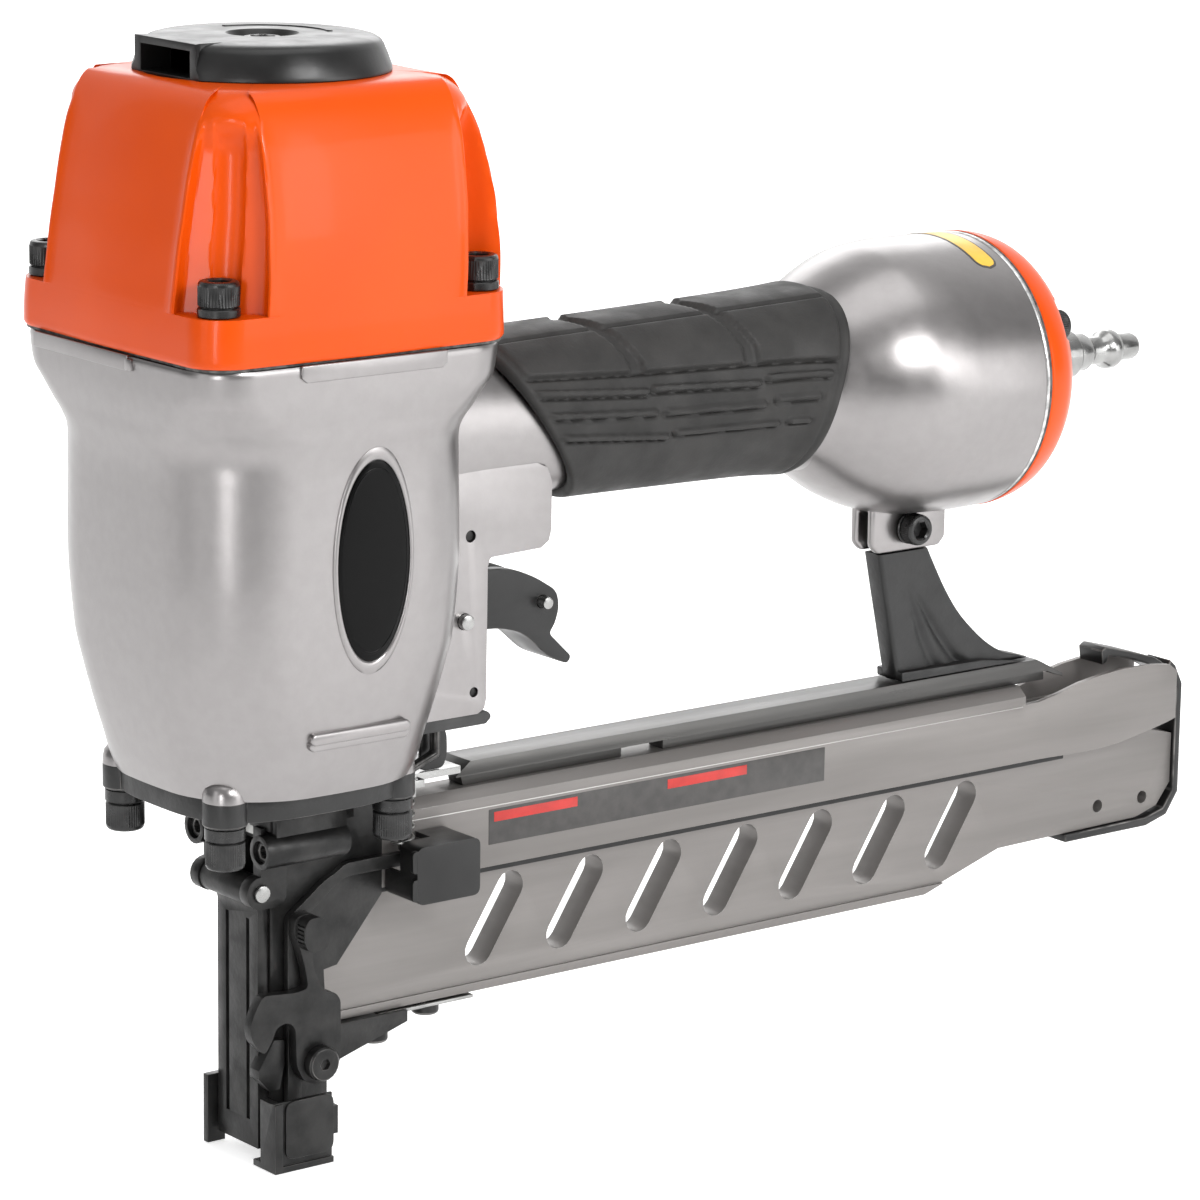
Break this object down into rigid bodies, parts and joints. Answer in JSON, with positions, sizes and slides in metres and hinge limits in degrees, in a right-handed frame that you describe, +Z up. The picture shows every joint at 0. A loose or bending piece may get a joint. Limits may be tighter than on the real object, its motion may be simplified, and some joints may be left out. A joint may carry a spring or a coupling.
{
  "type": "pneumatic nail gun",
  "caption": "Pneumatic fastener driver with a cylinder head, rubber-sleeved air handle, trigger, hinged nose with work contact and a long slide-open magazine.",
  "frame": {"origin": "centre of the flat bottom face of the nose housing, the face that the fastener leaves from, just behind the drive slot", "axes": "+X from the nose back along the magazine and handle, +Z up along the cylinder away from the work, +Y to the left seen from behind"},
  "size_m": [0.3592, 0.0896, 0.2822],
  "materials": {
    "cast_silver": "cast aluminium, satin silver with a fine grain",
    "orange_gloss": "gloss orange powder coat",
    "badge_black": "gloss black oval plate with a silver rim, no lettering",
    "grip_rubber": "matte moulded rubber with raised panels and ribs",
    "gasket": "thin dark sealing gasket",
    "bumper_rubber": "matte rubber or polyurethane",
    "magazine_grey": "warm grey hard anodised extrusion, satin",
    "black_satin": "satin black coating",
    "bright_steel": "bright turned or zinc plated steel",
    "spring_steel": "hardened steel",
    "black_steel": "phosphated and oiled black steel"
  },
  "bodies": {
    "frame": {"body_casting": "cast_silver", "cylinder_cap": "orange_gloss", "end_cap": "orange_gloss", "badge": "badge_black", "grip_sleeve": "grip_rubber", "cap_gasket": "gasket", "bumper": "bumper_rubber", "boss_pad": "bumper_rubber", "magazine_guide": "magazine_grey", "support_arm": "black_satin", "magazine_rail": "black_satin", "safety_cover": "black_satin", "air_plug": "bright_steel", "trigger_pin": "bright_steel", "hinge_pin": "bright_steel", "rail_bracket": "bright_steel", "bottom_strip": "bright_steel", "cylinder_sleeve": "bright_steel", "valve_housing": "bright_steel", "head_valve_spring": "spring_steel", "valve_spring": "spring_steel", "safety_spring": "spring_steel", "base_plate": "black_steel", "nose_housing": "black_steel", "latch_screw": "black_steel", "arm_screw": "black_steel", "deflector_screw": "black_steel", "strip_screw_1": "black_steel", "strip_screw_2": "black_steel", "clamp_screw_1": "black_steel", "clamp_screw_2": "black_steel", "cap_screw_1": "black_steel", "cap_screw_2": "black_steel", "cap_screw_3": "black_steel", "cap_screw_4": "black_steel", "base_screw_1": "black_steel", "base_screw_2": "black_steel", "base_screw_3": "black_steel", "base_screw_4": "black_steel", "end_cap_screw_1": "black_steel", "end_cap_screw_2": "black_steel", "end_cap_screw_3": "black_steel"},
    "deflector": {"exhaust_deflector": "black_satin"},
    "head_valve_group": {"head_valve": "bumper_rubber"},
    "piston_group": {"piston": "bright_steel", "piston_ring": "bumper_rubber", "driver_blade": "spring_steel"},
    "trigger_group": {"trigger": "black_satin", "trip_pin": "bright_steel"},
    "trip_lever_group": {"trip_lever": "black_steel"},
    "plunger_group": {"valve_plunger": "bright_steel"},
    "safety_group": {"work_contact": "black_steel", "safety_rod": "black_steel"},
    "door_group": {"nose_door": "black_steel"},
    "latch_group": {"latch_lever": "black_steel"},
    "magazine_group": {"magazine_core": "magazine_grey", "rear_band": "black_satin", "pusher_spring": "spring_steel"},
    "magazine_latch_group": {"magazine_latch": "black_satin"},
    "pusher_group": {"pusher": "spring_steel"}
  },
  "joints": [
    {"name": "deflector_swivel", "type": "hinge", "parent": "frame", "child": "deflector", "pos_m": [0.0016, 0, 0.27], "axis": [0, 0, 1], "continuous": true},
    {"name": "head_valve_lift", "type": "slide", "parent": "frame", "child": "head_valve_group", "axis": [0, 0, 1], "range_m": [0, 0.004], "stiffness_N_per_m": 800, "deforming": ["head_valve_spring"]},
    {"name": "piston_drive", "type": "slide", "parent": "frame", "child": "piston_group", "axis": [0, 0, -1], "range_m": [0, 0.08]},
    {"name": "trigger_swing", "type": "hinge", "parent": "frame", "child": "trigger_group", "pos_m": [0.0516, 0, 0.1299], "axis": [0, -1, 0], "range_deg": [0, 12], "stiffness_Nm_per_rad": 1.2, "springref_deg": -5.73},
    {"name": "trip_lever_swing", "type": "hinge", "parent": "trigger_group", "child": "trip_lever_group", "pos_m": [0.0832, 0, 0.1293], "axis": [0, 1, 0], "range_deg": [0, 8], "stiffness_Nm_per_rad": 0.05, "springref_deg": -5.73},
    {"name": "plunger_lift", "type": "slide", "parent": "frame", "child": "plunger_group", "axis": [0, 0, 1], "range_m": [0, 0.0035], "stiffness_N_per_m": 10, "deforming": ["valve_spring"]},
    {"name": "safety_lift", "type": "slide", "parent": "frame", "child": "safety_group", "axis": [0, 0, 1], "range_m": [0, 0.006], "stiffness_N_per_m": 600, "springref_m": -0.004, "deforming": ["safety_spring"]},
    {"name": "door_swing", "type": "hinge", "parent": "frame", "child": "door_group", "pos_m": [-0.0079, 0, 0.068], "axis": [0, 1, 0], "range_deg": [0, 95]},
    {"name": "latch_swing", "type": "hinge", "parent": "frame", "child": "latch_group", "pos_m": [0.0076, 0, 0.0222], "axis": [0, 1, 0], "range_deg": [0, 25], "stiffness_Nm_per_rad": 0.4, "springref_deg": -8.59},
    {"name": "magazine_slide", "type": "slide", "parent": "frame", "child": "magazine_group", "axis": [1, 0, 0], "range_m": [0, 0.2]},
    {"name": "magazine_latch_swing", "type": "hinge", "parent": "magazine_group", "child": "magazine_latch_group", "pos_m": [0.3084, 0, 0.0806], "axis": [0, 1, 0], "range_deg": [0, 20], "stiffness_Nm_per_rad": 0.3, "springref_deg": -5.73},
    {"name": "pusher_slide", "type": "slide", "parent": "magazine_group", "child": "pusher_group", "axis": [1, 0, 0], "range_m": [0, 0.2], "stiffness_N_per_m": 25, "springref_m": -0.1, "deforming": ["pusher_spring"]}
  ],
  "couplings": [
    {"joint": "plunger_lift", "follows": "trigger_swing", "m_per_rad": 0.0167}
  ]
}
